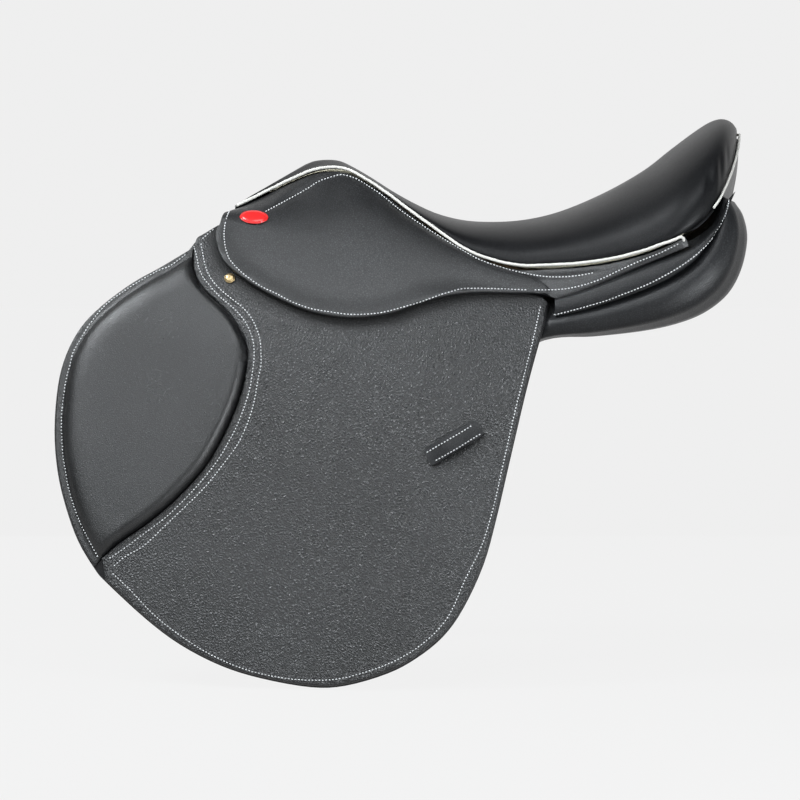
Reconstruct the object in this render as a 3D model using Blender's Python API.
"""Pony jumping saddle: seat, tree, skirts, flaps, panels, stirrup bars and girth straps.

+X runs from the pommel to the cantle, the near (left) side is -Y and +Z is up. The origin lies on the
centre plane under the deepest point of the seat, level with the lower edge of the rear panels.
Outlines are side views in millimetres, read on the near side; everything else is in metres.
"""

import math

import bmesh
import bpy
from mathutils import Matrix, Vector

# Clearances
GAP = 0.0004            # between touching pieces
RUN = 0.0006            # between pieces that slide on each other
FOLD = 0.0008           # each side of the line where flap and skirt fold

# Leather and padding
FLAP_LEATHER = 0.003
FLAP_LINING = 0.0018
FLAP_EDGE = 0.002       # the lining shows this far past the grained leather
FLAP_HEAD = 0.012       # the grained leather's top edge behind its front corner
FLAP_PAST = 0.004       # the lining in front of the fold line's start
SKIRT_PAST = 0.02       # the lobe behind its last traced point
SKIRT_LEATHER = 0.003
SKIRT_RISE = 0.0016     # skirt above the flap's grain side
SWEAT_LEATHER = 0.003
SWEAT_INSET = 0.009     # sweat flap inside the flap's outline
SWEAT_TOP = 0.052       # where the sweat flap is sewn to the panel, below the fold
COVER_LEATHER = 0.002
SEAM_INSET = 0.0018     # the skirt's sewn edge outside the seat's edge
PIPING_RADIUS = 0.0016
WELT_GAP = 0.0009       # room for the stitches between seat and piping
WELT_START = 0.008      # the piping's front end, along the seat
PAD_GAP = 0.0006        # knee pad inside its own outline
PAD_EDGE = 0.0016       # knee pad's stitched edge above the lining
PAD_CROWN = 0.0075      # how far the knee pad swells over its edge
PAD_SLOPE = 0.030       # width of the pad's rounded margin
PAD_CELL = 0.015
PAD_START = 0.002       # the lining's front end below the fold line

# Fold line of flap and skirt, on the flap's grain side
FOLD_FRONT = Vector((-0.201, -0.066, 0.0927))
FOLD_REAR = Vector((0.056, -0.114, 0.036))
FLARE_TOP = 0.62        # the flap's slope at the fold
FLARE_LOW = 0.27        # its slope where it hangs flat
FLARE_DEPTH = 0.100     # depth over which one turns into the other
FLARE_STEPS = 8

# Stirrup bar
BAR_FRONT = 0.070       # from the fold's front end
BAR_LENGTH = 0.062
BAR_TOP = 0.015         # below the fold
BAR_HEIGHT = 0.012
BAR_THICK = 0.006
BAR_SINK = 0.003        # the bar's face under the flap's grain side
LEATHER_SLOT = 0.009    # room for the stirrup leather behind the bar
PLATE_THICK = 0.003
PLATE_UP = 0.022        # plate above the fold
PLATE_PAST = 0.004      # plate behind the bar's rear end
PLATE_DOWN = 0.030      # plate below the fold
CATCH_LENGTH = 0.018
CATCH_FORK = 0.0018     # each cheek of the catch
CATCH_PIN = 0.0018      # radius
FORK_ROOM = 0.004       # the fork's slot past the tongue's end
PIN_ROOM = 0.00015      # round the pin
PIN_SET = 0.005         # the pin before the tongue's end
TONGUE = 0.012          # the bar's thin end between the catch's cheeks
THUMB_BEVEL = 0.004     # bevel of the catch's free end
BAR_ROOT = 0.001        # how deep the bridge stands in the plate
RIVET_IN = 0.010        # rivets in from the plate's ends
RIVET_UP = 0.010        # rivets above the fold
RIVET_RADIUS = 0.003
RIVET_HEAD = 0.0018     # height of the rivet's head
RIVET_SKIN = 0.002      # wood left behind the rivet
BAR_BRIDGE = 0.008      # the bridge from the plate to the bar's front
BAR_NOSE = 0.004        # bevel of the bar's front corner
NOTCH_MARGIN = 0.006    # cut-out of the flap round the bar

# Girth straps and buckle guard
STRAP_PLACES = ("front", "middle", "rear")
STRAP_COUNT = len(STRAP_PLACES)
STRAP_WIDTH = 0.024
STRAP_PITCH = 0.028
STRAP_THICK = 0.0035
STRAP_CLEAR = 0.008     # from the catch's rear end to the front strap
STRAP_MIDDLE = (BAR_FRONT + BAR_LENGTH + CATCH_LENGTH + STRAP_CLEAR + STRAP_WIDTH / 2
                + STRAP_PITCH * (STRAP_COUNT - 1) / 2)  # from the fold's front end
STRAP_TOP = 0.018
STRAP_END = 0.238
STRAP_POINT = 0.012     # length of the strap's pointed end
STRAP_TIP = 0.4         # width of its tip, as a share
HOLE_START = 0.026      # lowest hole above the strap's end
HOLE_RADIUS = 0.002
HOLE_PITCH = 0.020
HOLE_COUNT = 4
GUARD_TOP = 0.135
GUARD_HEIGHT = 0.080
GUARD_LEATHER = 0.002
GUARD_BAND = 0.0015
GUARD_WALL = 0.002      # the sleeve's folded edges

# Tree
TREE_THICK = 0.008
WEB_THICK = 0.002
FOAM_DEEP = (0.25, 0.25, 0.4, 0.75, 0.2)  # start and span, then loss, start and span in the cantle
WEB_ROWS = (8, 14)      # the webs, in stations of the seat
TREE_OPENING = (5, 14)  # the tree's opening, in its own stations
FOAM_POMMEL = 0.005
FOAM_SEAT = 0.014
SIDE_BOARD = 0.006
BOARD_DROP = 0.020      # the board's lower edge below the fold
BOARD_CLEAR = 0.010     # between the board and the girth straps, along the fold
BOARD_ABOVE = 0.004     # the board above the bar's plate
ARCH_THICK = 0.005
ARCH_WIDTH = 0.030

MM = 0.001

# The seat: top of the centre line and the welt below it, from pommel to cantle
# Each row is x, z of the centre line, then x, y, z of the near edge
SEAT_STATIONS = [
    (-131, 138, -186, -41, 104),
    (-124, 140.5, -165, -34, 114),
    (-114, 141.5, -143, -31, 125),
    (-104, 140.5, -122, -31, 134),
    (-94, 136, -101, -34, 135.5),
    (-80, 128, -84, -40, 128),
    (-62, 116.5, -64, -49, 115),
    (-44, 106.5, -46, -59, 101.5),
    (-26, 98.5, -27, -69, 88),
    (-6, 93.5, -6, -79, 73.5),
    (14, 92, 14, -88, 65),
    (38, 93, 38, -97, 60),
    (62, 98, 62, -105, 60.5),
    (86, 107, 84, -112, 62),
    (114, 120.5, 112, -120, 66.5),
    (140, 136, 138, -127, 74),
    (160, 151.5, 160, -130, 84),
    (177, 164, 176, -126, 95),
    (189, 171, 187, -117, 107),
    (197, 173.5, 195, -101, 120),
    (203, 173.5, 202, -78, 134),
    (208, 171, 208, -48, 149),
    (211.5, 167, 211.5, -16, 161),
]

# Flap outlines, side view
FLAP_TOP_CORNER = (-214, 78)
FLAP_FRONT_EDGE = [
    (-217, 67), (-216, 55), (-209, 42), (-188, 22), (-175, 0), (-175, -22), (-183, -51),
    (-202, -89), (-225, -116), (-248, -136), (-271, -152), (-285, -164),
]
KNEE_EDGE = [
    (-222, 72), (-243, 59), (-266, 45), (-289, 27), (-305, 11), (-316, -9), (-322, -33),
    (-324, -67), (-320, -98), (-312, -124), (-302, -149), (-290, -170),
]
FLAP_LOWER_EDGE = [
    (-282, -181), (-251, -208), (-224, -227), (-193, -242), (-162, -251), (-124, -257),
    (-98, -255), (-67, -245), (-45, -233), (-26, -217), (-11, -196), (5, -164), (16, -130),
    (28, -85), (40, -36), (48, -5), (53, 17),
]
SKIRT_EDGE = [
    (-199, 84), (-199, 75), (-193, 60), (-176, 46), (-153, 33), (-126, 22), (-95, 17),
    (-64, 20), (-41, 28), (-17, 34), (4, 36.5), (30, 36.5),
]
KNEE_BLOCK_EDGE = [
    (-228, 46), (-254, 34), (-276, 16), (-292, -8), (-301, -40), (-303, -75), (-297, -100),
    (-287, -104), (-279, -76), (-272, -44), (-258, -16), (-240, 4), (-222, 24),
]

# Lower edge of the skirt's tail behind the fold: x, y, z
TAIL_EDGE = [(68, -120, 35), (90, -122, 42), (121, -126, 55.5), (150, -130, 67.5), (166, -132, 74.5)]

# Rear panel, side view with half widths: x, z of the lower edge, x, z of the seam, x, z of the band's
# upper edge, y of the outer side, y and rise of the channel side
PANEL_REAR = [
    (56, 3, 58, 21, 58, 30, -120, -36, 34),
    (94, 5, 92, 30, 96, 41, -127, -36, 32),
    (131, 9, 124, 42, 130, 54, -132, -36, 28),
    (158, 15, 150, 54, 157, 65, -135, -36, 24),
    (180, 25, 168, 64, 170, 73, -134, -37, 18),
    (197, 40, 178, 74, 178, 82, -131, -38, 12),
    (207, 60, 185, 84, 184, 90, -126, -40, 6),
    (210, 82, 191, 96, 189, 99, -118, -43, 3),
    (207, 102, 196, 108, 193, 109, -108, -48, 1),
]
# Front panel, along the fold: distance, then x, y, z of the channel side's top and of its bottom
PANEL_FRONT = [
    (0.012, -188, -28, 74, -197, -56, 25),
    (0.035, -167, -30, 73, -174, -58, 24),
    (0.070, -135, -32, 76, -141, -54, 30),
    (0.110, -96, -35, 80, -101, -48, 38),
    (0.150, -56, -36, 74, -60, -43, 38),
    (0.190, -16, -36, 62, -19, -38, 34),
    (0.228, 20, -36, 55, 18, -36, 30),
]
PANEL_DROP = 0.062      # front panel's lower edge below the fold
PANEL_ROUND = 0.0008    # how far the panel's rounded lower corner reaches over its own outline
PANEL_DEPTH = 0.033     # front panel's top under the flap's grain side
PANEL_RISE = 0.004      # its top above the fold
PANEL_STEPS = 2         # between two sections
PANEL_TURN = 1.5        # sections over which the front panel turns into the rear one
PANEL_FULL = (0.12, 0.05, 0.12, 0.16)   # fullness of the rear section's four sides
PANEL_CORNER = 0.25
SEAM_STEP = 1           # mm, the seam outside the lower edge
BAND_STEP = 5           # mm, the band's upper edge inside its seam
BAND_DEPTH = Vector((0, 0.009, 0))
BAND_LIFT = 0.003
BAND_CORNER = 0.3
BAND_FULL = 0.14

# Flap head, in shares of the skirt's length and height
HEAD_START = 0.06
HEAD_SHORT = 0.01       # its end before the fold's
HEAD_DOWN = (0.45, 0.93)

# Cantle and pommel facings
CANTLE_START = 0.76     # where the cantle's welt starts, along the seat
CANTLE_HUB = Vector((0.120, 0, 0.100))  # the cantle's welt faces away from here
CANTLE_LEVEL = Vector((1, 1, 0.2))      # and mostly level
FACING_BACK = 0.006     # the facing's foot in front of its top
FACING_DEEP = 0.006     # the facing's least height
FACING_FULL = 0.0025
FACING_NARROW = 0.985   # the foot's width as a share of the top's
FACING_ROWS = 4
FACING_LEATHER = 0.0018
FACING_FOOT = 0.1115     # height of the cantle facing's lower edge
POMMEL_FACING = 0.010   # width of the pommel facing
FACING_DOWN = 0.8       # share of the skirt's front edge that it follows
FACING_STEP = 0.03      # step behind the front edge that gives its direction

# Head arch of the tree: x, y, z from the centre down the near side
HEAD_ARCH = [(-120, 0, 117.5), (-127, -14, 112.7), (-145, -26, 99.5), (-164, -41, 82)]
ARCH_PLACE = 0.034      # the points, along the fold
ARCH_HIGH = 0.022       # the arch under the flap's grain side at the fold
ARCH_LOW = 0.0145       # the same at its points
ARCH_START = 0.004
ARCH_END = 0.044        # the arch's points below the fold
POCKET_LENGTH = 0.016
POCKET_LEATHER = 0.002
POCKET_ROOM = 2 * GAP   # between the point and its pocket

# Girth web: from under the tree outward to the straps
WEB_SIDES = (-0.044, -0.064)    # y of its bends under the tree
WEB_BACK = 0.0009       # these bends in front of the straps' middle at the fold
WEB_ROOM = 0.0012       # between the web and the tree's curved underside
WEB_LAP = (1, 4)        # bends of the sheet that the web follows behind the straps

# Lining of the channel
CHANNEL_HALF = 0.036
CHANNEL_CROWN = 0.003
CHANNEL_LIFT = 0.001    # over the panels' upper inner edges

KEEPER_CENTRE = (-15, -75.5)
KEEPER_LENGTH = 0.047
KEEPER_WIDTH = 0.015
KEEPER_ANGLE = 32       # degrees up to the rear
KEEPER_LEATHER = 0.0022
KEEPER_ARCH = 0.007
KEEPER_FOOT = 0.006
KEEPER_BEND = 0.004     # length of the arch's slopes

BADGE_PLACE = 0.062     # along the skirt, from the pommel
BADGE_DOWN = 0.66       # share of the way from the welt to the fold
BADGE_LENGTH = 0.022
BADGE_WIDTH = 0.012
BADGE_RISE = 0.002
BADGE_LIFT = 0.0005
DOME_EDGE = 0.3         # share of a dome's rise that is its straight rim
STUD_CENTRE = (-188, 47)
STUD_RADIUS = 0.004
STUD_RISE = 0.0011


def remove_all():
    """Start from an empty file."""
    for old in list(bpy.data.objects):
        bpy.data.objects.remove(old)


def material(name, colour, roughness, metallic=0.0):
    mat = bpy.data.materials.new(name)
    mat.use_nodes = True
    shader = mat.node_tree.nodes["Principled BSDF"]
    shader.inputs["Base Color"].default_value = (*colour, 1)
    shader.inputs["Roughness"].default_value = roughness
    shader.inputs["Metallic"].default_value = metallic
    mat.diffuse_color = (*colour, 1)
    return mat


def add_object(name, bm, kind):
    """Put a bmesh into the saddle's collection as one named piece."""
    bmesh.ops.recalc_face_normals(bm, faces=bm.faces)
    if bm.calc_volume(signed=True) < 0:
        bmesh.ops.reverse_faces(bm, faces=bm.faces)
    mesh = bpy.data.meshes.new(name)
    bm.to_mesh(mesh)
    bm.free()
    mesh.materials.append(MATERIALS[kind])
    mesh.shade_smooth()
    mesh.set_sharp_from_angle(angle=math.radians(35))
    piece = bpy.data.objects.new(name, mesh)
    SADDLE.objects.link(piece)
    return piece


def mirror_piece(name, left):
    """The off side's copy of a near-side piece."""
    bm = bmesh.new()
    bm.from_mesh(left.data)
    bmesh.ops.transform(bm, matrix=Matrix.Scale(-1, 4, (0, 1, 0)), verts=bm.verts)
    bmesh.ops.reverse_faces(bm, faces=bm.faces)
    mesh = bpy.data.meshes.new(name)
    bm.to_mesh(mesh)
    bm.free()
    mesh.materials.append(left.data.materials[0])
    mesh.shade_smooth()
    mesh.set_sharp_from_angle(angle=math.radians(35))
    piece = bpy.data.objects.new(name, mesh)
    SADDLE.objects.link(piece)
    return piece


def both_sides(name, build, *args):
    """Build a piece on the near side and mirror it to the off side."""
    left = build(f"{name}_left", *args)
    mirror_piece(f"{name}_right", left)


def smooth_line(points, steps):
    """A Catmull-Rom curve through the points, with so many steps between each two."""
    pts = [Vector(p) for p in points]
    pts = [2 * pts[0] - pts[1]] + pts + [2 * pts[-1] - pts[-2]]
    line = []
    for before, start, end, after in zip(pts, pts[1:], pts[2:], pts[3:]):
        for step in range(steps):
            t = step / steps
            line.append(0.5 * (2 * start + (end - before) * t
                               + (2 * before - 5 * start + 4 * end - after) * t ** 2
                               + (3 * start - before - 3 * end + after) * t ** 3))
    line.append(pts[-2])
    return line


def ease(value):
    """A smooth step from 0 to 1."""
    value = min(max(value, 0), 1)
    return value * value * (3 - 2 * value)


def point_on(line, place):
    """The point at a share of a list of points, between its neighbours."""
    where = min(max(place, 0), 1) * (len(line) - 1)
    first = min(int(where), len(line) - 2)
    return line[first].lerp(line[first + 1], where - first)


# The flap's bent surface. It is ruled along the fold: s runs along the fold, t below it as seen from
# the side, and h is the height over the flap's grain side.

FOLD_SPAN = math.hypot(FOLD_REAR.x - FOLD_FRONT.x, FOLD_REAR.z - FOLD_FRONT.z)
FOLD_COS = (FOLD_REAR.x - FOLD_FRONT.x) / FOLD_SPAN
FOLD_SIN = (FOLD_FRONT.z - FOLD_REAR.z) / FOLD_SPAN
FOLD_SPREAD = (FOLD_REAR.y - FOLD_FRONT.y) / FOLD_SPAN
FLARE_LEVELS = [FLARE_DEPTH * step / FLARE_STEPS for step in range(FLARE_STEPS + 1)]


def flare(t):
    """How far the flap stands out at a depth below the fold."""
    if t <= 0:
        return FLARE_TOP * t
    bend = min(t, FLARE_DEPTH)
    return (FLARE_TOP * bend - (FLARE_TOP - FLARE_LOW) * bend ** 2 / (2 * FLARE_DEPTH)
            + FLARE_LOW * (t - bend))


def side_to_sheet(x, z):
    """From a side view in metres to distance along the fold and depth below it."""
    dx = x - FOLD_FRONT.x
    dz = FOLD_FRONT.z - z
    return FOLD_COS * dx + FOLD_SIN * dz, FOLD_COS * dz - FOLD_SIN * dx


def strip_normal(t_mid):
    """Outward normal of the flat strip round a depth."""
    step = FLARE_DEPTH / FLARE_STEPS / 2
    slope = (flare(t_mid + step) - flare(t_mid - step)) / (2 * step)
    along_x = FOLD_SPREAD * FOLD_COS + slope * FOLD_SIN
    along_z = -FOLD_SPREAD * FOLD_SIN + slope * FOLD_COS
    return Vector((along_x, -1, along_z)).normalized()


def level_normal(level):
    """Normal at a bend between two strips, long enough to keep both strips parallel."""
    half = FLARE_DEPTH / FLARE_STEPS / 2
    above = strip_normal(level - half)
    below = strip_normal(level + half)
    middle = (above + below).normalized()
    return middle / middle.dot(above)


LEVEL_NORMALS = [level_normal(level) for level in FLARE_LEVELS]


def flap_point(s, t, h):
    """A point of the bent sheet: every height keeps the same flat strips."""
    place = t / FLARE_DEPTH * FLARE_STEPS
    if place <= 0:
        normal = LEVEL_NORMALS[0]
        out = flare(t)
    elif place >= FLARE_STEPS:
        normal = LEVEL_NORMALS[-1]
        out = flare(t)
    else:
        first = int(place)
        share = place - first
        normal = LEVEL_NORMALS[first].lerp(LEVEL_NORMALS[first + 1], share)
        low = flare(FLARE_LEVELS[first])
        out = low + (flare(FLARE_LEVELS[first + 1]) - low) * share
    return Vector((
        FOLD_FRONT.x + FOLD_COS * s - FOLD_SIN * t,
        FOLD_FRONT.y + FOLD_SPREAD * s - out,
        FOLD_FRONT.z - FOLD_SIN * s - FOLD_COS * t,
    )) + normal * h


# Heights of the layers over the flap's grain side

LINING_OUT = -FLAP_LEATHER - GAP
LINING_IN = LINING_OUT - FLAP_LINING
SKIRT_OUT = SKIRT_RISE + SKIRT_LEATHER
GUARD_OUT = LINING_IN - 2 * RUN
STRAP_OUT = GUARD_OUT - GUARD_LEATHER - RUN
STRAP_IN = STRAP_OUT - STRAP_THICK
GUARD_IN = STRAP_IN - RUN - GUARD_BAND
SWEAT_OUT = GUARD_IN - 4 * RUN
SWEAT_IN = SWEAT_OUT - SWEAT_LEATHER
BAR_IN = -BAR_SINK - BAR_THICK
PLATE_OUT = BAR_IN - LEATHER_SLOT
PLATE_IN = PLATE_OUT - PLATE_THICK
BOARD_OUT = PLATE_IN - GAP
BOARD_IN = BOARD_OUT - SIDE_BOARD


def sheet_outline(points, steps=2):
    """A side-view outline in millimetres, rounded and laid on the sheet."""
    curve = smooth_line([(x * MM, z * MM) for x, z in points], steps)
    return [Vector(side_to_sheet(p.x, p.y)) for p in curve]


def shift_line(line, distance, closed=False):
    """An open or closed line moved sideways: to the right of its run in (s, t)."""
    moved = []
    for k, here in enumerate(line):
        before = line[k - 1] if k or closed else here
        after = line[(k + 1) % len(line)] if k + 1 < len(line) or closed else here
        along = Vector((0, 0))
        if here != before:
            along += (here - before).normalized()
        if after != here:
            along += (after - here).normalized()
        along.normalize()
        moved.append(here + Vector((-along.y, along.x)) * distance)
    return moved


def inset(outline, distance):
    """A closed outline moved inward by a distance."""
    area = sum(a.x * b.y - b.x * a.y for a, b in zip(outline, outline[1:] + outline[:1]))
    return shift_line(outline, distance if area > 0 else -distance, True)


def clip_below(outline, t_min):
    """Keep what lies deeper than t_min below the fold."""
    kept = []
    for here, after in zip(outline, outline[1:] + outline[:1]):
        if here.y >= t_min:
            kept.append(here)
        if (here.y - t_min) * (after.y - t_min) < 0:
            kept.append(here.lerp(after, (t_min - here.y) / (after.y - here.y)))
    return kept


def flat_plate(loops, thickness):
    """A plate with holes from flat loops, as a bmesh centred on its own mid plane."""
    curve = bpy.data.curves.new("outline", "CURVE")
    curve.dimensions = "2D"
    curve.fill_mode = "BOTH"
    curve.extrude = thickness / 2
    for loop in loops:
        spline = curve.splines.new("POLY")
        spline.points.add(len(loop) - 1)
        for point, place in zip(spline.points, loop):
            point.co = (place.x, place.y, 0, 1)
        spline.use_cyclic_u = True
    guide = bpy.data.objects.new("outline", curve)
    bpy.context.scene.collection.objects.link(guide)
    bpy.context.view_layer.update()
    mesh = bpy.data.meshes.new_from_object(guide.evaluated_get(bpy.context.evaluated_depsgraph_get()))
    bpy.data.objects.remove(guide)
    bm = bmesh.new()
    bm.from_mesh(mesh)
    bpy.data.meshes.remove(mesh)
    bmesh.ops.remove_doubles(bm, verts=bm.verts, dist=0.00001)
    flat = [e for e in bm.edges if len(e.link_faces) == 2 and e.calc_face_angle(0) < 0.001]
    bmesh.ops.dissolve_edges(bm, edges=flat, use_verts=False)
    return bm


def cut_at(bm, levels, axis):
    """Add edge loops where the sheet bends."""
    normal = Vector((0, 0, 0))
    normal[axis] = 1
    for level in levels:
        geometry = list(bm.verts) + list(bm.edges) + list(bm.faces)
        bmesh.ops.bisect_plane(bm, geom=geometry, plane_co=normal * level, plane_no=normal,
                               dist=0.000001)


def leather_sheet(name, loops, h_in, h_out, kind):
    """A piece of leather cut from flat loops and bent to the flap's surface."""
    bm = flat_plate(loops, h_out - h_in)
    cut_at(bm, FLARE_LEVELS, 1)
    middle = (h_in + h_out) / 2
    for vert in bm.verts:
        vert.co = flap_point(vert.co.x, vert.co.y, middle + vert.co.z)
    return add_object(name, bm, kind)


def distance_to(outline, s, t):
    """Distance from a place on the sheet to an outline."""
    here = Vector((s, t))
    best = 1.0
    for start, end in zip(outline, outline[1:] + outline[:1]):
        run = end - start
        share = min(max((here - start).dot(run) / run.length_squared, 0), 1)
        best = min(best, (start + run * share - here).length)
    return best


def padded_sheet(name, outline, h_in, h_edge, crown, slope, cell, kind):
    """A stuffed pad: flat below, crowned above, thin at its stitched edge."""
    bm = flat_plate([outline], 1)
    low_s = min(p.x for p in outline)
    high_s = max(p.x for p in outline)
    high_t = max(p.y for p in outline)
    cut_at(bm, FLARE_LEVELS, 1)
    count = int((high_t - FLARE_DEPTH) / cell)
    cut_at(bm, [FLARE_DEPTH + cell * (step + 1) for step in range(count)], 1)
    count = int((high_s - low_s) / cell)
    cut_at(bm, [low_s + cell * (step + 1) for step in range(count)], 0)
    for vert in bm.verts:
        s, t, up = vert.co
        h = h_in
        if up > 0:
            reach = min(distance_to(outline, s, t) / slope, 1)
            h = h_edge + crown * math.sqrt(reach * (2 - reach))
        vert.co = flap_point(s, t, h)
    return add_object(name, bm, kind)


def shell(name, rows, columns, outer, inner, kind, keep=None):
    """A solid between two grids of points, with a rim round every edge of the kept cells.

    Every layer splits its cells along the same diagonals, mirrored about the middle, so thin
    layers stay apart.
    """
    bm = bmesh.new()
    verts = {}

    def vert(layer, i, j):
        if (layer, i, j) not in verts:
            verts[layer, i, j] = bm.verts.new((outer, inner)[layer](i, j))
        return verts[layer, i, j]

    cells = {(i, j) for i in range(rows) for j in range(columns) if keep is None or keep(i, j)}
    for i, j in cells:
        corners = [(i, j), (i + 1, j), (i + 1, j + 1), (i, j + 1)]
        halves = ((0, 1, 2), (0, 2, 3)) if 2 * j < columns else ((0, 1, 3), (1, 2, 3))
        for half in halves:
            bm.faces.new([vert(0, *corners[k]) for k in half])
            bm.faces.new([vert(1, *corners[k]) for k in reversed(half)])
        beside = [(i, j - 1), (i + 1, j), (i, j + 1), (i - 1, j)]
        for start, end, cell in zip(corners, corners[1:] + corners[:1], beside):
            if cell not in cells:
                bm.faces.new([vert(0, *end), vert(0, *start), vert(1, *start), vert(1, *end)])
    return add_object(name, bm, kind)


def tube_loft(name, sections, kind):
    """A closed loft through rings of the same number of points."""
    bm = bmesh.new()
    rings = [[bm.verts.new(p) for p in section] for section in sections]
    for ring, following in zip(rings, rings[1:]):
        for k in range(len(ring)):
            after = (k + 1) % len(ring)
            bm.faces.new([ring[k], ring[after], following[after], following[k]])
    bm.faces.new(list(reversed(rings[0])))
    bm.faces.new(rings[-1])
    return add_object(name, bm, kind)


def round_section(corners, share, bulges):
    """A quadrilateral with rounded corners and swelling sides, 4 points a corner and side."""
    centre = sum(corners, Vector()) / len(corners)
    points = []
    for k, here in enumerate(corners):
        before = corners[k - 1]
        after = corners[(k + 1) % len(corners)]
        points.append(here.lerp(before, share))
        points.append((here.lerp(before, share * 0.25) + here.lerp(after, share * 0.25)) / 2)
        points.append(here.lerp(after, share))
        middle = here.lerp(after, 0.5)
        points.append(middle + (middle - centre) * bulges[k])
    return points


def wire(name, points, radius, kind):
    """A round cord along a line of points."""
    curve = bpy.data.curves.new(name, "CURVE")
    curve.dimensions = "3D"
    curve.bevel_depth = radius
    curve.bevel_resolution = 1
    curve.use_fill_caps = True
    spline = curve.splines.new("POLY")
    spline.points.add(len(points) - 1)
    for point, place in zip(spline.points, points):
        point.co = (*place, 1)
    guide = bpy.data.objects.new(name, curve)
    bpy.context.scene.collection.objects.link(guide)
    bpy.context.view_layer.update()
    mesh = bpy.data.meshes.new_from_object(guide.evaluated_get(bpy.context.evaluated_depsgraph_get()))
    bpy.data.objects.remove(guide)
    bm = bmesh.new()
    bm.from_mesh(mesh)
    bpy.data.meshes.remove(mesh)
    bmesh.ops.remove_doubles(bm, verts=bm.verts, dist=0.00001)
    return add_object(name, bm, kind)


# Seat surface: station runs from pommel to cantle, side from -1 (near) to 1 (off)

SEAT_CENTRE = smooth_line([(x * MM, 0, z * MM) for x, z, *edge in SEAT_STATIONS], 2)
SEAT_EDGE = smooth_line([(x * MM, y * MM, z * MM) for *centre, x, y, z in SEAT_STATIONS], 2)
SEAT_ROWS = len(SEAT_STATIONS) - 1
SEAT_COLUMNS = 14
ARCH_POWER = 0.92       # fullness of the seat's cross section
POMMEL_POWER = 1.15     # the same at the pommel, where the section is steeper
POMMEL_SPAN = 0.2       # share of the seat's length over which one turns into the other
EDGE_SHIFT = 0.6        # how far a layer's edge moves in for its depth
EDGE_DROP = 0.35        # how far it drops


def centre_normal(place):
    """Upward normal of the seat's centre line."""
    run = point_on(SEAT_CENTRE, place + 0.01) - point_on(SEAT_CENTRE, place - 0.01)
    return Vector((-run.z, 0, run.x)).normalized()


def edge_inward(place):
    """Level direction from the welt towards the inside of the seat."""
    run = point_on(SEAT_EDGE, place + 0.01) - point_on(SEAT_EDGE, place - 0.01)
    return Vector((-run.y, run.x, 0)).normalized()


def seat_point(place, side, depth=0.0):
    """A point of a layer of the seat: a round arch from the centre line to the edge."""
    centre = point_on(SEAT_CENTRE, place) - centre_normal(place) * depth
    edge = point_on(SEAT_EDGE, place) + edge_inward(place) * EDGE_SHIFT * depth
    edge.z -= EDGE_DROP * depth
    angle = abs(side) * math.pi / 2
    full = ease(place / POMMEL_SPAN)
    across = full * math.sin(angle) ** ARCH_POWER + (1 - full) * abs(side) ** POMMEL_POWER
    drop = 1 - math.cos(angle) ** ARCH_POWER
    y = edge.y * across
    return Vector((
        centre.x + (edge.x - centre.x) * drop,
        y if side < 0 else -y,
        centre.z + (edge.z - centre.z) * drop,
    ))


def foam_depth(place):
    """Foam under the cover: thin over the pommel, deep under the rider, thinner in the cantle."""
    start, span, loss, cantle, rear = FOAM_DEEP
    deep = ease((place - start) / span) - loss * ease((place - cantle) / rear)
    return FOAM_POMMEL + (FOAM_SEAT - FOAM_POMMEL) * deep


def seat_shell(name, rows, columns, depths, kind, keep=None):
    """A layer of the seat between two depths, on the grid that all its layers share."""

    def place(i, j, layer):
        along = (rows[0] + i) / SEAT_ROWS
        side = -1 + 2 * (columns[0] + j) / SEAT_COLUMNS
        return seat_point(along, side, depths[layer](along))

    return shell(name, rows[1] - rows[0], columns[1] - columns[0], lambda i, j: place(i, j, 0),
                 lambda i, j: place(i, j, 1), kind, keep)


# Skirt surface: from the welt down to the fold, and behind the fold to the tail's lower edge

SKIRT_ROWS = 24
SKIRT_FULL = 0.05       # fullness of the skirt's section
SKIRT_OUTWARD = Vector((0, -0.8, 0.6))
EVEN_ALONG = 0.03       # half the span of the skirt's normals along it
EVEN_DOWN = 0.25        # the same down it
TAIL_START = 0.62       # share of the skirt's length where the fold ends
SKIRT_END = 0.735       # share of the seat's length where the skirt's welt ends
TAIL_LINE = smooth_line([(x * MM, y * MM, z * MM) for x, y, z in TAIL_EDGE], 3)


def skirt_upper_edge(place):
    """The welt's lower side, where the skirt is sewn to the seat."""
    edge = point_on(SEAT_EDGE, place * SKIRT_END)
    return edge + Vector((0, -SEAM_INSET, -2 * PIPING_RADIUS - 2 * GAP))


def skirt_lower_edge(place):
    if place <= TAIL_START:
        s = FOLD_SPAN * place / TAIL_START
        return flap_point(s, -FOLD, SKIRT_OUT)
    return point_on(TAIL_LINE, (place - TAIL_START) / (1 - TAIL_START))


def skirt_surface(place, down):
    """The skirt's outer face, a little fuller in the middle."""
    upper = skirt_upper_edge(place)
    lower = skirt_lower_edge(place)
    full = SKIRT_FULL * (lower - upper).length * 4 * down * (1 - down)
    return upper.lerp(lower, down) + SKIRT_OUTWARD * full


def skirt_normal(place, down):
    """Inward normal of the skirt, evened out over a span so that its layers stay apart."""
    ahead = skirt_surface(min(place + EVEN_ALONG, 1), down) - skirt_surface(max(place - EVEN_ALONG, 0), down)
    below = skirt_surface(place, min(down + EVEN_DOWN, 1)) - skirt_surface(place, max(down - EVEN_DOWN, 0))
    return ahead.cross(below).normalized()


def skirt_layer(name, span, down, depths, kind, columns):
    """A layer under the skirt's outer face."""
    rows = max(4, round((span[1] - span[0]) * SKIRT_ROWS))

    def place(i, j, layer):
        along = span[0] + (span[1] - span[0]) * i / rows
        across = down[0] + (down[1] - down[0]) * j / columns
        return skirt_surface(along, across) + skirt_normal(along, across) * depths[layer]

    return shell(name, rows, columns, lambda i, j: place(i, j, 0), lambda i, j: place(i, j, 1), kind)


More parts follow.
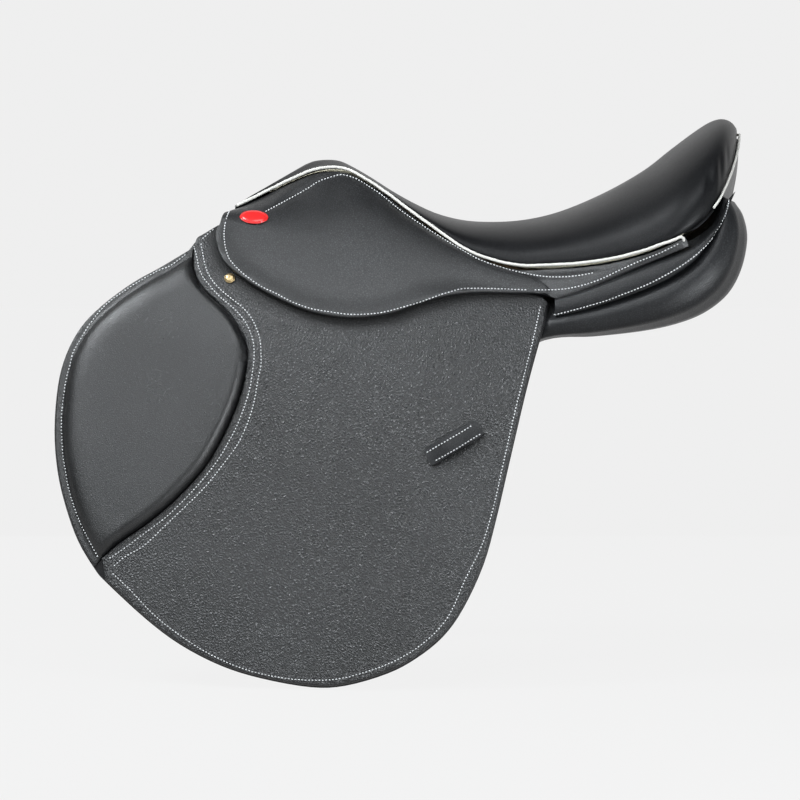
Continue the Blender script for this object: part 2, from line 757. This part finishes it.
def tree_depth(place):
    """The tree's upper side under the seat's surface."""
    return COVER_LEATHER + WEB_THICK + 3 * GAP + foam_depth(place)


def build_seat():
    """Cover, foam, webs and tree, one below the other."""
    whole = (0, SEAT_COLUMNS)
    seat_shell("seat_cover", (0, SEAT_ROWS), whole, (lambda a: 0, lambda a: COVER_LEATHER), "leather_seat")
    top = COVER_LEATHER + GAP
    seat_shell("seat_foam", (1, SEAT_ROWS - 2), whole, (lambda a: top, lambda a: top + foam_depth(a)),
               "foam")
    web = top + GAP
    seat_shell("seat_webbing", WEB_ROWS, (2, SEAT_COLUMNS - 2),
               (lambda a: web + foam_depth(a), lambda a: web + foam_depth(a) + WEB_THICK), "webbing")

    def tree_ring(i, j):
        """The tree is open under the rider, between head, rails and cantle."""
        return not (TREE_OPENING[0] <= i < TREE_OPENING[1] and 3 <= j < SEAT_COLUMNS - 5)

    seat_shell("tree", (1, SEAT_ROWS - 4), (1, SEAT_COLUMNS - 1),
               (tree_depth, lambda a: tree_depth(a) + TREE_THICK),
               "tree_wood", tree_ring)


def build_welts():
    """White piping between seat and skirt, and round the cantle."""
    out = PIPING_RADIUS + WELT_GAP
    side_line = []
    for step in range(33):
        place = WELT_START + (SKIRT_END - WELT_START) * step / 32
        side_line.append(point_on(SEAT_EDGE, place) - edge_inward(place) * out + Vector((0, 0, -GAP)))
    both_sides("skirt_piping", lambda name: wire(name, side_line, PIPING_RADIUS, "piping"))
    rim, outward = cantle_rim()
    wire("cantle_piping", [p + out * (PIPING_RADIUS + GAP) for p, out in zip(rim, outward)], PIPING_RADIUS,
         "piping")


def cantle_rim():
    """The seat's edge round the cantle from side to side, and the directions that point away from it."""
    near = [point_on(SEAT_EDGE, CANTLE_START + (1 - CANTLE_START) * step / 16) for step in range(17)]
    rim = near + [Vector((p.x, -p.y, p.z)) for p in reversed(near)]
    return rim, [((p - CANTLE_HUB) * CANTLE_LEVEL).normalized() for p in rim]


def build_cantle_facing():
    """Back of the cantle, from its welt down to the panels."""
    rim, outward = cantle_rim()

    def place(i, j, depth):
        run = rim[min(i + 1, len(rim) - 1)] - rim[max(i - 1, 0)]
        down = run.cross(outward[i]).normalized()
        if down.z > 0:
            down = -down
        top = rim[i] + (outward[i] + down) * (PIPING_RADIUS + GAP)
        foot = Vector((top.x - FACING_BACK, top.y * FACING_NARROW, min(FACING_FOOT, top.z - FACING_DEEP)))
        full = FACING_FULL * math.sin(math.pi * j / FACING_ROWS)
        return top.lerp(foot, j / FACING_ROWS) + outward[i] * (full - depth)

    shell("cantle_facing", len(rim) - 1, FACING_ROWS, lambda i, j: place(i, j, 0),
          lambda i, j: place(i, j, FACING_LEATHER), "leather_calf")


def build_pommel_facing():
    """Leather round the front of the arch: seat edge, then down both skirts' front edges."""
    downs = [FACING_DOWN * (3 - step) / 3 for step in range(4)]
    sides = [-1 + 2 * step / SEAT_COLUMNS for step in range(SEAT_COLUMNS + 1)]
    near = [(skirt_surface(0, down), skirt_surface(FACING_STEP, down)) for down in downs]
    top = [(seat_point(0, side), seat_point(FACING_STEP, side)) for side in sides]
    far = [(Vector((a.x, -a.y, a.z)), Vector((b.x, -b.y, b.z))) for a, b in reversed(near)]
    pairs = near + top + far

    def place(i, j, lift):
        here, behind = pairs[i]
        run = (pairs[min(i + 1, len(pairs) - 1)][0] - pairs[max(i - 1, 0)][0]).normalized()
        away = here - behind
        away = (away - run * away.dot(run)).normalized()
        inward = away.cross(run)
        return here + inward * (GAP + POMMEL_FACING * j / 2) + away * lift

    shell("pommel_facing", len(pairs) - 1, 2, lambda i, j: place(i, j, 2 * GAP + FACING_LEATHER),
          lambda i, j: place(i, j, 2 * GAP), "leather_calf")


def build_skirt(name):
    """The skirt above the fold with its tail: one piece with the lobe below it."""
    return skirt_layer(name, (0, 1), (0, 1), (0, SKIRT_LEATHER), "leather_grain", 5)


def build_flap_head(name):
    """The flap's head under the skirt, nailed to the tree."""
    depth = SKIRT_LEATHER + 2 * GAP
    return skirt_layer(name, (HEAD_START, TAIL_START - HEAD_SHORT), HEAD_DOWN, (depth, depth + FLAP_LEATHER),
                       "leather_calf", 3)


def rectangle(s_low, s_high, t_low, t_high):
    return [Vector((s_low, t_low)), Vector((s_high, t_low)), Vector((s_high, t_high)),
            Vector((s_low, t_high))]


def whole_outline():
    """Flap and knee pad together, from the fold's front end round to its rear end."""
    lower = KNEE_EDGE + FLAP_LOWER_EDGE
    outline = sheet_outline(lower)
    return [Vector((-FLAP_PAST, FOLD + PAD_START / 2))] + outline + [Vector((FOLD_SPAN, FOLD))]


def front_edge():
    return sheet_outline([FLAP_TOP_CORNER] + FLAP_FRONT_EDGE)


def with_notch(outline):
    """The outline with the cut-out for the stirrup bar in its top edge, which runs from rear to front."""
    low = BAR_FRONT - NOTCH_MARGIN
    high = BAR_FRONT + BAR_LENGTH + CATCH_LENGTH + NOTCH_MARGIN
    deep = BAR_TOP + BAR_HEIGHT + NOTCH_MARGIN
    return outline + [Vector((high, FOLD)), Vector((high, deep)), Vector((low, deep)), Vector((low, FOLD))]


def build_lining(name):
    return leather_sheet(name, [with_notch(whole_outline())], LINING_IN, LINING_OUT, "leather_lining")


def build_flap(name):
    """Grained leather, cut to the knee pad's edge in front and set back from the lining's edge."""
    front = front_edge()
    lower = shift_line(sheet_outline(FLAP_LOWER_EDGE), -FLAP_EDGE)
    outline = [Vector((front[0].x + FLAP_HEAD, FOLD)), *front, *lower, Vector((FOLD_SPAN - FLAP_EDGE, FOLD))]
    return leather_sheet(name, [with_notch(outline)], -FLAP_LEATHER, 0, "leather_grain")


def build_knee_pad(name):
    """Padded panel in front of the grained flap, butted to its edge."""
    outline = sheet_outline(KNEE_EDGE) + list(reversed(front_edge()))
    outline = inset(outline, PAD_GAP)
    return padded_sheet(name, outline, LINING_OUT + GAP, LINING_OUT + GAP + PAD_EDGE, PAD_CROWN, PAD_SLOPE,
                        PAD_CELL, "leather_calf")


def build_skirt_lobe(name):
    """The skirt below the fold."""
    edge = sheet_outline(SKIRT_EDGE)
    outline = [Vector((edge[0].x, FOLD)), *edge, Vector((edge[-1].x + SKIRT_PAST, FOLD))]
    return leather_sheet(name, [outline], SKIRT_RISE, SKIRT_OUT, "leather_grain")


def build_sweat_flap(name):
    outline = clip_below(inset(whole_outline(), SWEAT_INSET), SWEAT_TOP)
    return leather_sheet(name, [outline], SWEAT_IN, SWEAT_OUT, "leather_calf")


def build_knee_block(name):
    """Firm block on the sweat flap, under the flap's front."""
    outline = sheet_outline(KNEE_BLOCK_EDGE, 1)
    return leather_sheet(name, [outline], SWEAT_OUT + GAP, LINING_IN - RUN, "leather_calf")


def panel_sections():
    """Sections of the cushion: outer bottom, outer top, channel top, channel bottom."""
    sections = []
    for s, *edge in PANEL_FRONT:
        top = Vector(edge[:3]) * MM
        bottom = Vector(edge[3:]) * MM
        sections.append([flap_point(s, PANEL_DROP, SWEAT_IN + PANEL_ROUND),
                         flap_point(s, -PANEL_RISE, -PANEL_DEPTH), top, bottom])
    for bx, bz, sx, sz, ux, uz, y, channel, rise in PANEL_REAR:
        low = Vector((bx, y, bz)) * MM
        seam = Vector((sx, y - SEAM_STEP, sz)) * MM
        up = Vector((ux - sx, 0, uz - sz)).normalized()
        lift = (Vector((sx - bx, 0, sz - bz)).normalized() + up).normalized() * rise * MM
        sections.append([low, seam, Vector((seam.x, channel * MM, seam.z)) + lift,
                         Vector((low.x, channel * MM, low.z)) + lift])
    return sections


def build_panel(name):
    """One side's flocked cushion, from the points to the back of the cantle."""
    sections = panel_sections()
    lines = [smooth_line([section[k] for section in sections], PANEL_STEPS) for k in range(4)]
    rings = []
    for k, corners in enumerate(zip(*lines)):
        rear = ease((k / PANEL_STEPS - len(PANEL_FRONT) + PANEL_TURN) / 2)
        low, outer, top, channel = PANEL_FULL
        rings.append(round_section(list(corners), PANEL_CORNER, (low * rear, outer * rear, top, channel)))
    return tube_loft(name, rings, "leather_calf")


def build_band(name):
    """The rear panel's gusset above its seam."""
    rings = []
    for bx, bz, sx, sz, ux, uz, y, channel, rise in PANEL_REAR[1:]:
        seam = Vector((sx, y - SEAM_STEP, sz)) * MM
        upper = Vector((ux, y + BAND_STEP, uz)) * MM
        along = (upper - seam).normalized()
        rings.append([seam + along * 2 * GAP, upper])
    low = smooth_line([ring[0] for ring in rings], 1)
    high = smooth_line([ring[1] for ring in rings], 1)
    depth = BAND_DEPTH
    sections = []
    for a, b in zip(low, high):
        lift = (b - a).normalized() * BAND_LIFT
        sections.append(round_section([a, b, b + depth + lift, a + depth + lift * 1.2], BAND_CORNER,
                                      (BAND_FULL, 0, 0, 0)))
    return tube_loft(name, sections, "leather_calf")


def build_keeper(name):
    """Arched loop that holds the end of the stirrup leather, open at both ends."""
    angle = math.radians(KEEPER_ANGLE)
    s, t = side_to_sheet(KEEPER_CENTRE[0] * MM, KEEPER_CENTRE[1] * MM)
    base = flap_point(s, t, GAP)
    along_x = Vector((math.cos(angle), 0, math.sin(angle)))
    origin = flap_point(s, t, 0)
    out = (flap_point(s, t, 1) - origin).normalized()
    along = (along_x - out * along_x.dot(out)).normalized()
    across = out.cross(along)
    half = KEEPER_LENGTH / 2
    foot = half - KEEPER_FOOT
    top = foot - KEEPER_BEND
    profile = [(-half, 0), (-foot, 0), (-top, KEEPER_ARCH), (top, KEEPER_ARCH), (foot, 0), (half, 0)]
    outline = profile + [(x, z + KEEPER_LEATHER) for x, z in reversed(profile)]
    frame = Matrix((along, across, out)).transposed().to_4x4()
    frame.translation = base
    bm = profile_bar(outline, -KEEPER_WIDTH / 2, KEEPER_WIDTH / 2)
    return add_object(name, framed(bm, frame), "leather_calf")


def dome(centre, out, along, length, width, rise):
    """A shallow oval or round stud head."""
    bm = bmesh.new()
    bmesh.ops.create_uvsphere(bm, u_segments=16, v_segments=6, radius=1)
    lower = [v for v in bm.verts if v.co.z < -0.01]
    bmesh.ops.delete(bm, geom=lower, context="VERTS")
    rim = [e for e in bm.edges if e.is_boundary]
    bmesh.ops.contextual_create(bm, geom=rim)
    across = out.cross(along)
    for vert in bm.verts:
        x, y, z = vert.co
        height = (DOME_EDGE + (1 - DOME_EDGE) * z) * rise
        vert.co = centre + along * x * length / 2 + across * y * width / 2 + out * height
    return bm


def build_badge(name):
    """Plain enamelled oval on the skirt, over the saddle nail."""
    here = skirt_surface(BADGE_PLACE, BADGE_DOWN)
    out = -skirt_normal(BADGE_PLACE, BADGE_DOWN)
    along = (skirt_surface(BADGE_PLACE + 0.03, BADGE_DOWN) - here).normalized()
    along = (along - out * along.dot(out)).normalized()
    return add_object(name, dome(here + out * BADGE_LIFT, out, along, BADGE_LENGTH, BADGE_WIDTH, BADGE_RISE),
                      "badge")


def build_stud(name):
    """Brass nail through flap and lining, at the skirt's front corner."""
    s, t = side_to_sheet(STUD_CENTRE[0] * MM, STUD_CENTRE[1] * MM)
    here = flap_point(s, t, 0)
    out = (flap_point(s, t, 1) - here).normalized()
    return add_object(name, dome(here + out * GAP, out, out.orthogonal().normalized(), 2 * STUD_RADIUS,
                                 2 * STUD_RADIUS, STUD_RISE), "brass")


def bar_frame():
    """Flat frame of the stirrup bar: X along the fold, Y down the flap, Z outward."""
    middle_s = BAR_FRONT + BAR_LENGTH / 2
    middle_t = BAR_TOP + BAR_HEIGHT / 2
    origin = flap_point(middle_s, 0, 0)
    along = (flap_point(middle_s + 0.01, 0, 0) - origin).normalized()
    down = (flap_point(middle_s, middle_t, 0) - origin).normalized()
    out = -along.cross(down).normalized()
    down = (down - along * down.dot(along)).normalized()
    matrix = Matrix((along, down, out)).transposed().to_4x4()
    matrix.translation = origin
    return matrix, middle_s


def framed(bm, matrix):
    bmesh.ops.transform(bm, matrix=matrix, verts=bm.verts)
    return bm


def profile_bar(profile, low, high):
    """A flat profile in the frame's X and Z, from low to high along its Y."""
    bm = flat_plate([[Vector(p) for p in profile]], high - low)
    for vert in bm.verts:
        vert.co = Vector((vert.co.x, vert.co.z + (low + high) / 2, vert.co.y))
    return bm


def block(bm, low, high):
    """A box between two corners."""
    made = bmesh.ops.create_cube(bm, size=1)
    for vert in made["verts"]:
        vert.co = Vector([low[k] + (high[k] - low[k]) * (vert.co[k] + 0.5) for k in range(3)])
    return made["verts"]


def union(target, tools):
    """Join the tools to the target, and cut nothing."""
    apply_boolean(target, tools, "UNION")


def apply_boolean(target, tools, operation):
    for tool in tools:
        modifier = target.modifiers.new(operation, "BOOLEAN")
        modifier.operation = operation
        modifier.solver = "EXACT"
        modifier.object = tool
    bpy.context.view_layer.update()
    mesh = bpy.data.meshes.new_from_object(target.evaluated_get(bpy.context.evaluated_depsgraph_get()))
    target.modifiers.clear()
    target.data = mesh
    for tool in tools:
        bpy.data.objects.remove(tool)


def rod(bm, centre, radius, low, high, segments=12):
    """A cylinder along the frame's Z."""
    made = bmesh.ops.create_cone(bm, cap_ends=True, segments=segments, radius1=radius, radius2=radius,
                                 depth=high - low)
    for vert in made["verts"]:
        vert.co = Vector((centre[0] + vert.co.x, centre[1] + vert.co.y, vert.co.z + (low + high) / 2))
    return made["verts"]


def loose(name, bm, kind="steel"):
    """A helper solid that a Boolean uses up."""
    piece = add_object(name, bm, kind)
    return piece


def build_bar(name):
    """Stirrup bar: plate riveted to the tree, bridge in front, bar, and a tongue with the catch's pin."""
    matrix, middle = bar_frame()
    front = BAR_FRONT - middle
    rear = front + BAR_LENGTH
    top = BAR_TOP
    low = BAR_TOP + BAR_HEIGHT
    plate = bmesh.new()
    block(plate, (front, -PLATE_UP, PLATE_IN), (rear + PLATE_PAST, PLATE_DOWN, PLATE_OUT))
    plate_piece = loose(name, framed(plate, matrix))
    tongue_in = BAR_IN + CATCH_FORK + GAP
    tongue_out = -BAR_SINK - CATCH_FORK - GAP
    profile = [(front, PLATE_IN + BAR_ROOT), (front + BAR_BRIDGE, PLATE_IN + BAR_ROOT),
               (front + BAR_BRIDGE, BAR_IN), (rear - TONGUE, BAR_IN), (rear - TONGUE, tongue_in),
               (rear, tongue_in), (rear, tongue_out), (rear - TONGUE, tongue_out),
               (rear - TONGUE, -BAR_SINK), (front + BAR_NOSE, -BAR_SINK), (front, -BAR_SINK - BAR_NOSE)]
    hook = profile_bar(profile, top, low)
    pin = bmesh.new()
    rod(pin, (rear - PIN_SET, (top + low) / 2), CATCH_PIN, BAR_IN, -BAR_SINK)
    union(plate_piece, [loose("hook", framed(hook, matrix)), loose("pin", framed(pin, matrix))])
    holes = []
    for x, y in rivet_places():
        hole = bmesh.new()
        rod(hole, (x, y), RIVET_RADIUS + GAP / 2, PLATE_IN - 0.002, PLATE_OUT + 0.002)
        holes.append(loose("hole", framed(hole, matrix)))
    apply_boolean(plate_piece, holes, "DIFFERENCE")
    return plate_piece


def rivet_places():
    """Both rivets of the plate, above the bar."""
    half = BAR_LENGTH / 2
    return [(-half + RIVET_IN, -RIVET_UP), (half - RIVET_IN, -RIVET_UP)]


def build_rivet(name, index):
    """Domed rivet through the plate into the tree's side board."""
    matrix, middle = bar_frame()
    x, y = rivet_places()[index]
    bm = bmesh.new()
    rod(bm, (x, y), RIVET_RADIUS - GAP / 2, BOARD_IN + RIVET_SKIN, PLATE_OUT + GAP + RIVET_HEAD / 2)
    shank = loose(name, framed(bm, matrix))
    head = bmesh.new()
    made = bmesh.ops.create_cone(head, cap_ends=True, segments=12, radius1=RIVET_RADIUS * 1.7,
                                 radius2=RIVET_RADIUS * 0.9, depth=RIVET_HEAD)
    for vert in made["verts"]:
        vert.co += Vector((x, y, PLATE_OUT + GAP + RIVET_HEAD / 2))
    union(shank, [loose("head", framed(head, matrix))])
    return shank


def build_board(name):
    """The tree's side board behind the bar, drilled for the rivets."""
    matrix, middle = bar_frame()
    bm = bmesh.new()
    front = ARCH_PLACE + ARCH_WIDTH / 2 + 4 * GAP - middle
    rear = strap_centre(0) - STRAP_WIDTH / 2 - BOARD_CLEAR - middle
    block(bm, (front, -PLATE_UP - BOARD_ABOVE, BOARD_IN), (rear, BOARD_DROP, BOARD_OUT))
    board = loose(name, framed(bm, matrix), "tree_wood")
    holes = []
    for x, y in rivet_places():
        hole = bmesh.new()
        rod(hole, (x, y), RIVET_RADIUS + GAP / 2, BOARD_IN + RIVET_SKIN - GAP, BOARD_OUT + RIVET_SKIN)
        holes.append(loose("hole", framed(hole, matrix)))
    apply_boolean(board, holes, "DIFFERENCE")
    return board


def build_catch(name):
    """Safety catch: a fork on the bar's tongue and a thumb end, turning on the pin."""
    matrix, middle = bar_frame()
    rear = BAR_FRONT - middle + BAR_LENGTH
    pivot = rear - PIN_SET
    mid_y = BAR_TOP + BAR_HEIGHT / 2
    half = BAR_HEIGHT / 2
    end = rear + CATCH_LENGTH
    outline = [(pivot + half * math.sin(a), mid_y + half * math.cos(a))
               for a in [math.pi * (1 + k / 8) for k in range(9)]]
    outline += [(end - THUMB_BEVEL, mid_y + half), (end, mid_y + half - THUMB_BEVEL),
                (end, mid_y - half + THUMB_BEVEL), (end - THUMB_BEVEL, mid_y - half)]
    bm = flat_plate([[Vector(p) for p in outline]], BAR_THICK)
    bmesh.ops.translate(bm, vec=(0, 0, -BAR_SINK - BAR_THICK / 2), verts=bm.verts)
    catch = loose(name, framed(bm, matrix))
    slot = bmesh.new()
    block(slot, (pivot - BAR_HEIGHT, mid_y - BAR_HEIGHT, BAR_IN + CATCH_FORK),
          (rear + GAP + FORK_ROOM, mid_y + BAR_HEIGHT, -BAR_SINK - CATCH_FORK))
    hole = bmesh.new()
    rod(hole, (pivot, mid_y), CATCH_PIN + PIN_ROOM, BAR_IN - 0.001, -BAR_SINK + 0.001)
    apply_boolean(catch, [loose("slot", framed(slot, matrix)), loose("hole", framed(hole, matrix))],
                  "DIFFERENCE")
    return catch


def strap_centre(index):
    return STRAP_MIDDLE + (index - (STRAP_COUNT - 1) / 2) * STRAP_PITCH


def circle(s, t, radius, count=8):
    return [Vector((s + radius * math.cos(2 * math.pi * k / count),
                    t + radius * math.sin(2 * math.pi * k / count))) for k in range(count)]


def build_strap(name, index):
    """A girth strap with a pointed end and a row of punched holes."""
    middle = strap_centre(index)
    half = STRAP_WIDTH / 2
    tip = half * STRAP_TIP
    low = STRAP_END - STRAP_POINT
    outline = [Vector((middle - half, STRAP_TOP)), Vector((middle + half, STRAP_TOP)),
               Vector((middle + half, low)), Vector((middle + tip, STRAP_END)),
               Vector((middle - tip, STRAP_END)), Vector((middle - half, low))]
    last = STRAP_END - HOLE_START
    holes = [circle(middle, last - HOLE_PITCH * k, HOLE_RADIUS) for k in range(HOLE_COUNT)]
    return leather_sheet(name, [outline] + holes, STRAP_IN, STRAP_OUT, "leather_calf")


def build_guard(name):
    """Buckle guard: a leather sleeve round all three straps."""
    low = strap_centre(0) - STRAP_WIDTH / 2 - RUN
    high = strap_centre(STRAP_COUNT - 1) + STRAP_WIDTH / 2 + RUN
    top = GUARD_TOP
    end = GUARD_TOP + GUARD_HEIGHT
    wall = GUARD_WALL
    outline = [(low - wall, GUARD_IN), (high + wall, GUARD_IN), (high + wall, GUARD_OUT),
               (low - wall, GUARD_OUT)]
    inner = [(low, GUARD_IN + GUARD_BAND), (high, GUARD_IN + GUARD_BAND), (high, GUARD_OUT - GUARD_LEATHER),
             (low, GUARD_OUT - GUARD_LEATHER)]
    bm = bmesh.new()
    grid = {}
    for layer, ring in enumerate((outline, inner)):
        for k, (s, h) in enumerate(ring):
            for e, t in enumerate((top, end)):
                grid[layer, k, e] = bm.verts.new(flap_point(s, t, h))
    for k in range(4):
        after = (k + 1) % 4
        bm.faces.new([grid[0, k, 0], grid[0, after, 0], grid[0, after, 1], grid[0, k, 1]])
        bm.faces.new([grid[1, after, 0], grid[1, k, 0], grid[1, k, 1], grid[1, after, 1]])
        bm.faces.new([grid[0, after, 0], grid[0, k, 0], grid[1, k, 0], grid[1, after, 0]])
        bm.faces.new([grid[0, k, 1], grid[0, after, 1], grid[1, after, 1], grid[1, k, 1]])
    return add_object(name, bm, "leather_calf")


def ribbon(name, middle, width, thick, kind):
    """A flat bar along a line of points: each with its width and thickness directions."""
    sections = []
    for here, wide, deep in middle:
        w = wide.normalized() * width / 2
        d = deep.normalized() * thick / 2
        sections.append([here - w - d, here + w - d, here + w + d, here - w + d])
    return tube_loft(name, sections, kind)


def arch_height(t):
    """Height of the points' middle over the flap's grain side: they come outward going down."""
    return -ARCH_HIGH + (ARCH_HIGH - ARCH_LOW) * (t - ARCH_START) / (ARCH_END - ARCH_START)


def arch_rows():
    """The head arch's middle line on the near side with its width directions, down into the points."""
    along = (FOLD_REAR - FOLD_FRONT).normalized()
    points = [Vector(p) * MM for p in HEAD_ARCH]
    wide = [Vector((1, 0, 0)).lerp(along, k / len(points)) for k in range(len(points))]
    for step in range(4):
        share = step / 3
        t = ARCH_START + (ARCH_END - ARCH_START) * share
        points.append(flap_point(ARCH_PLACE, t, arch_height(t)))
        wide.append(along)
    return list(zip(points, wide))


def build_arch():
    """Steel head arch with its points, from one side over the withers to the other."""
    near = arch_rows()
    far = [(Vector((p.x, -p.y, p.z)), Vector((w.x, -w.y, w.z))) for p, w in near[1:]]
    line = list(reversed(near)) + far
    rows = []
    for k, (here, wide) in enumerate(line):
        run = line[min(k + 1, len(line) - 1)][0] - line[max(k - 1, 0)][0]
        rows.append((here, wide, run.cross(wide)))
    ribbon("head_arch", rows, ARCH_WIDTH, ARCH_THICK, "steel")


def build_pocket(name):
    """Leather pocket on the panel that takes the tree's point."""
    s = ARCH_PLACE
    half = ARCH_WIDTH / 2 + POCKET_ROOM
    deep = ARCH_THICK / 2 + POCKET_ROOM
    top = ARCH_END - POCKET_LENGTH
    end = ARCH_END + 3 * GAP
    skin = POCKET_LEATHER
    corners = [(-1, -1), (1, -1), (1, 1), (-1, 1)]
    bm = bmesh.new()

    def ring(t, wall, place):
        middle = arch_height(place)
        return [bm.verts.new(flap_point(s + a * (half + wall), t, middle + b * (deep + wall)))
                for a, b in corners]

    rings = [ring(top, skin, top), ring(end + skin, skin, end), ring(top, 0, top), ring(end, 0, end)]
    for k in range(4):
        after = (k + 1) % 4
        bm.faces.new([rings[0][k], rings[0][after], rings[1][after], rings[1][k]])
        bm.faces.new([rings[2][after], rings[2][k], rings[3][k], rings[3][after]])
        bm.faces.new([rings[0][after], rings[0][k], rings[2][k], rings[2][after]])
    bm.faces.new(rings[1])
    bm.faces.new(list(reversed(rings[3])))
    return add_object(name, bm, "leather_calf")


def under_tree(x, y):
    """Height of the tree's underside over a place."""
    stations = [k / (2 * SEAT_ROWS) for k in range(2 * SEAT_ROWS + 1)]
    place = min(stations, key=lambda a: abs(point_on(SEAT_CENTRE, a).x - x))
    depth = tree_depth(place) + TREE_THICK
    sides = [-k / SEAT_COLUMNS for k in range(SEAT_COLUMNS + 1)]
    points = [seat_point(place, side, depth) for side in sides]
    for inner, outer in zip(points, points[1:]):
        if outer.y <= y:
            return inner.z + (outer.z - inner.z) * (y - inner.y) / (outer.y - inner.y)
    return points[-1].z


def web_height(x, y, wide, half):
    """Height of the web's middle, close under the tree over its whole width."""
    shares = [k / 8 - 1 for k in range(17)]
    under = min(under_tree(x + wide.x * half * k, y) - wide.z * half * k for k in shares)
    return under - WEB_ROOM - WEB_THICK / 2


def build_webbing(name):
    """Linen web from the tree, lapped behind the tops of the girth straps."""
    height = STRAP_IN - GAP - WEB_THICK / 2
    s = STRAP_MIDDLE
    width = STRAP_PITCH * (STRAP_COUNT - 1) + STRAP_WIDTH
    wide = (flap_point(s + STRAP_PITCH, 0, height) - flap_point(s, 0, height)).normalized()
    x = flap_point(s, 0, height).x - WEB_BACK
    points = [Vector((x, y, web_height(x, y, wide, width / 2))) for y in WEB_SIDES]
    points += [flap_point(s, level, height) for level in FLARE_LEVELS[WEB_LAP[0]:WEB_LAP[1]]]
    rows = []
    for k, here in enumerate(points):
        run = points[min(k + 1, len(points) - 1)] - points[max(k - 1, 0)]
        rows.append((here, wide, run.cross(wide)))
    return ribbon(name, rows, width, WEB_THICK, "webbing")


def build_channel():
    """Lining over the channel between the panels, sewn to their upper inner edges."""
    lift = Vector((0, 0, CHANNEL_LIFT))
    tops = [Vector((x, 0, z)) * MM + lift for s, x, y, z, *low in PANEL_FRONT[2:]]
    for bx, bz, sx, sz, ux, uz, y, channel, rise in PANEL_REAR[:-4]:
        tops.append(Vector((sx, 0, sz + rise)) * MM + lift)
    line = smooth_line(tops, 1)

    def place(i, j, drop):
        across = CHANNEL_HALF * (j / 2 - 1)
        crown = CHANNEL_CROWN * (1 - (across / CHANNEL_HALF) ** 2)
        return line[i] + Vector((0, across, crown - drop))

    shell("channel_lining", len(line) - 1, 4, lambda i, j: place(i, j, 0),
          lambda i, j: place(i, j, FLAP_LINING), "leather_lining")


def hang(name, place, pieces, carrier=None):
    """An empty on a joint's axis, which carries the pieces that turn or slide there."""
    empty = bpy.data.objects.new(name, None)
    empty.location = place
    empty.empty_display_size = 0.02
    SADDLE.objects.link(empty)
    for piece in pieces:
        child = SADDLE.objects[piece]
        child.parent = empty
        child.matrix_parent_inverse = Matrix.Translation(-place)
    if carrier:
        empty.parent = carrier
        empty.matrix_parent_inverse = Matrix.Translation(-carrier.location)
    return empty


def hang_side(side):
    """All moving pieces of one side on their axes: fold, bar's pin, and the straps' upper ends."""
    mirror = Vector((1, 1 if side == "left" else -1, 1))
    fold = flap_point(FOLD_SPAN / 2, 0, SKIRT_OUT) * mirror
    flap_names = ("flap", "flap_lining", "knee_pad", "keeper_loop", "flap_stud")
    flap_pieces = [f"{name}_{side}" for name in flap_names]
    flap_axis = hang(f"flap_hinge_{side}", fold, flap_pieces)
    hang(f"skirt_hinge_{side}", fold, [f"skirt_{side}"], flap_axis)
    matrix, middle = bar_frame()
    pin = matrix @ Vector((BAR_FRONT + BAR_LENGTH - PIN_SET - middle, BAR_TOP + BAR_HEIGHT / 2,
                           -BAR_SINK - BAR_THICK / 2))
    hang(f"catch_pin_{side}", pin * mirror, [f"bar_catch_{side}"])
    seam = flap_point(STRAP_MIDDLE, STRAP_TOP, (STRAP_IN + STRAP_OUT) / 2) * mirror
    straps = hang(f"strap_seam_{side}", seam, [f"girth_strap_{place}_{side}" for place in STRAP_PLACES])
    guard = flap_point(STRAP_MIDDLE, GUARD_TOP, (STRAP_IN + STRAP_OUT) / 2) * mirror
    hang(f"guard_slide_{side}", guard, [f"buckle_guard_{side}"], straps)


remove_all()
SADDLE = bpy.data.collections.new("pony_saddle")
bpy.context.scene.collection.children.link(SADDLE)
MATERIALS = {
    "leather_seat": material("leather_seat", (0.018, 0.019, 0.021), 0.38),
    "leather_grain": material("leather_grain", (0.022, 0.023, 0.025), 0.5),
    "leather_calf": material("leather_calf", (0.017, 0.018, 0.020), 0.42),
    "leather_lining": material("leather_lining", (0.015, 0.015, 0.016), 0.6),
    "piping": material("piping", (0.8, 0.79, 0.75), 0.5),
    "foam": material("foam", (0.7, 0.66, 0.5), 0.9),
    "tree_wood": material("tree_wood", (0.5, 0.34, 0.18), 0.6),
    "webbing": material("webbing", (0.35, 0.33, 0.28), 0.9),
    "steel": material("steel", (0.62, 0.62, 0.63), 0.3, 1.0),
    "brass": material("brass", (0.75, 0.55, 0.25), 0.35, 1.0),
    "badge": material("badge", (0.7, 0.03, 0.03), 0.25),
}

build_seat()
build_arch()
build_channel()
build_welts()
build_cantle_facing()
build_pommel_facing()
both_sides("skirt_upper", build_skirt)
both_sides("flap_head", build_flap_head)
both_sides("badge", build_badge)
both_sides("tree_side", build_board)
both_sides("stirrup_bar", build_bar)
both_sides("bar_rivet_front", build_rivet, 0)
both_sides("bar_rivet_rear", build_rivet, 1)
both_sides("bar_catch", build_catch)
both_sides("point_pocket", build_pocket)
both_sides("girth_webbing", build_webbing)
both_sides("panel", build_panel)
both_sides("panel_band", build_band)
both_sides("sweat_flap", build_sweat_flap)
both_sides("knee_block", build_knee_block)
both_sides("flap_lining", build_lining)
both_sides("flap", build_flap)
both_sides("knee_pad", build_knee_pad)
both_sides("keeper_loop", build_keeper)
both_sides("flap_stud", build_stud)
both_sides("skirt", build_skirt_lobe)
for number, place in enumerate(STRAP_PLACES):
    both_sides(f"girth_strap_{place}", build_strap, number)
both_sides("buckle_guard", build_guard)

hang_side("left")
hang_side("right")
